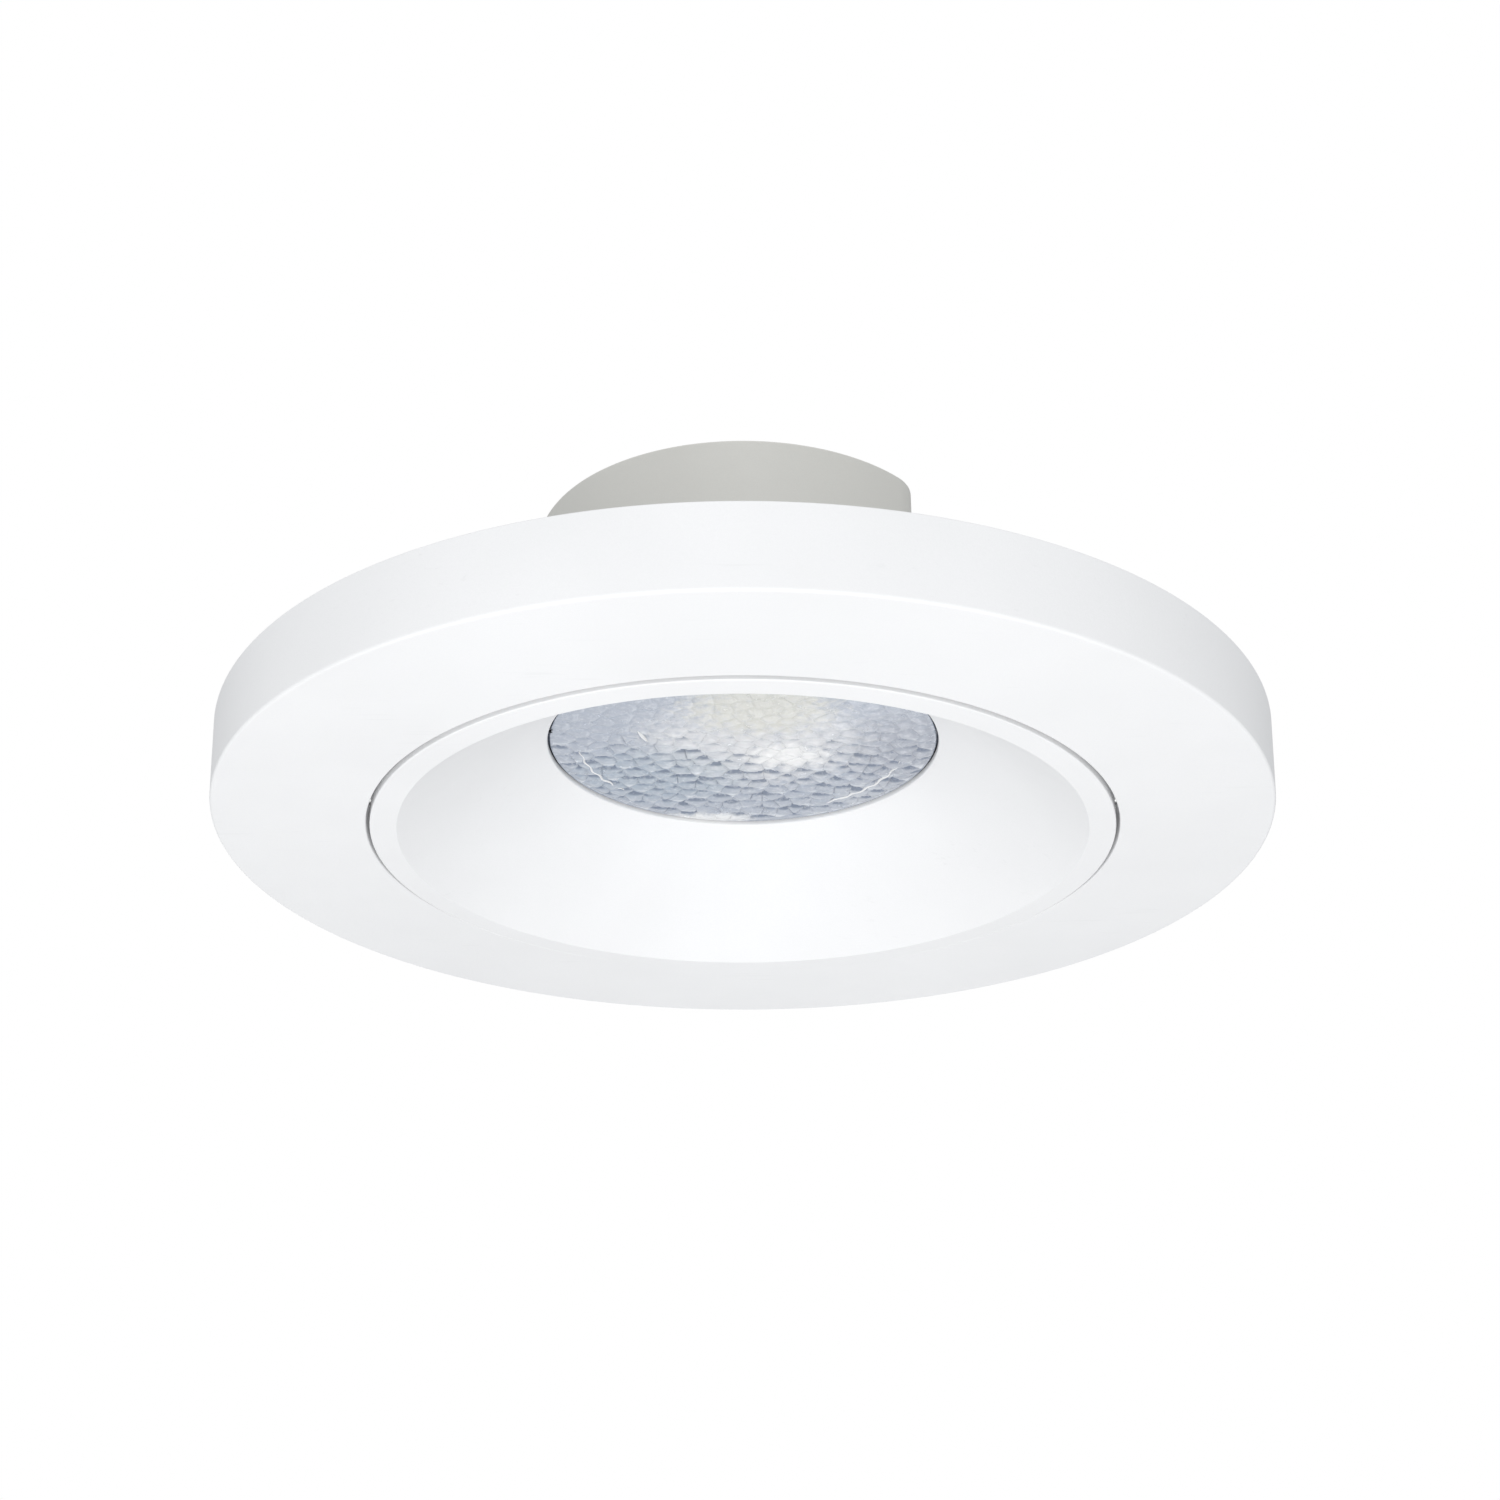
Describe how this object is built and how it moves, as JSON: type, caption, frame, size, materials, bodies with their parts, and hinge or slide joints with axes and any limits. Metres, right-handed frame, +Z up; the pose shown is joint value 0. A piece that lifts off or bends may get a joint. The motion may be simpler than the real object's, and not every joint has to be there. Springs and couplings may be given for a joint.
{
  "type": "adjustable led ceiling downlight",
  "caption": "Round white ceiling downlight: thick flat trim ring, slim bezel that pans and tilts, conical recess, pebbled lens, finned heat sink and driver can behind.",
  "frame": {"origin": "centre of the ceiling plane, where the trim ring's back edge and the mounting plate meet the ceiling", "axes": "+Z up into the ceiling, along the axis of the round trim; the lamp tilts about X, and the driver can's flat side with the cable inlet faces +X"},
  "size_m": [0.1308, 0.1308, 0.0425],
  "materials": {
    "white_powder_coat": "fine matt white powder coat",
    "grey_housing": "fine-grained warm grey moulding",
    "plated_steel": "zinc-plated sheet steel",
    "spring_steel": "plain spring steel",
    "screw_steel": "bright zinc-plated",
    "cast_aluminium": "as-cast, lightly blasted",
    "board_aluminium": "white-masked aluminium board",
    "bright_reflector": "vacuum-metallised",
    "clear_lens": "clear acrylic with a pebbled front",
    "led_phosphor": "silicone with yellow phosphor",
    "white_plastic": "moulded white plastic",
    "black_rubber": "black silicone rubber",
    "grey_foam": "closed-cell foam",
    "thermal_silicone": "grey thermal pad",
    "board_laminate": "green solder mask",
    "black_epoxy": "moulded black epoxy",
    "yellow_film": "yellow capacitor case",
    "black_sleeve": "shrink sleeve",
    "ferrite": "sintered ferrite",
    "copper_wire": "enamelled copper wire",
    "blue_lacquer": "lacquered resistor body",
    "red_insulation": "wire insulation",
    "black_insulation": "wire insulation"
  },
  "bodies": {
    "mount": {"mounting_plate": "plated_steel"},
    "trim": {"trim_ring": "white_powder_coat", "ceiling_gasket": "grey_foam", "retaining_clip_1": "spring_steel", "retaining_clip_2": "spring_steel", "retaining_clip_3": "spring_steel", "clip_screw_1": "screw_steel", "clip_screw_2": "screw_steel", "clip_screw_3": "screw_steel"},
    "carrier": {"pan_ring": "plated_steel", "pivot_washer_left": "spring_steel", "pivot_washer_right": "spring_steel"},
    "lamp": {"reflector_cone": "white_powder_coat", "cone_screw_1": "screw_steel", "cone_screw_2": "screw_steel", "cone_screw_3": "screw_steel", "pivot_pin_left": "screw_steel", "pivot_pin_right": "screw_steel", "pivot_clip_left": "spring_steel", "pivot_clip_right": "spring_steel", "lens_seal": "black_rubber", "lens": "clear_lens", "optic_reflector": "bright_reflector", "cob_holder": "white_plastic", "holder_screw_1": "screw_steel", "holder_screw_2": "screw_steel", "cob_board": "board_aluminium", "cob_phosphor": "led_phosphor", "thermal_pad": "thermal_silicone", "heat_sink": "cast_aluminium", "driver_housing": "grey_housing", "housing_screw_1": "screw_steel", "housing_screw_2": "screw_steel", "housing_screw_3": "screw_steel", "inlet_grommet": "black_rubber", "rear_cover": "grey_housing", "cover_screw_1": "screw_steel", "cover_screw_2": "screw_steel", "cover_screw_3": "screw_steel", "circuit_board": "board_laminate", "board_screw_1": "screw_steel", "board_screw_2": "screw_steel", "terminal_block": "white_plastic", "bridge_rectifier": "black_epoxy", "driver_chip": "black_epoxy", "input_capacitor": "yellow_film", "output_capacitor": "black_sleeve", "inductor_core": "ferrite", "inductor_winding": "copper_wire", "fuse_resistor": "blue_lacquer", "lead_positive": "red_insulation", "lead_negative": "black_insulation"}
  },
  "joints": [
    {"name": "twist", "type": "hinge", "parent": "mount", "child": "trim", "pos_m": [0, 0, 0], "axis": [0, 0, -1], "range_deg": [0, 18]},
    {"name": "pan", "type": "hinge", "parent": "trim", "child": "carrier", "pos_m": [0, 0, 0], "axis": [0, 0, 1], "range_deg": [-175, 175]},
    {"name": "tilt", "type": "hinge", "parent": "carrier", "child": "lamp", "pos_m": [0, 0, -0.0046], "axis": [1, 0, 0], "range_deg": [-25, 25]}
  ]
}
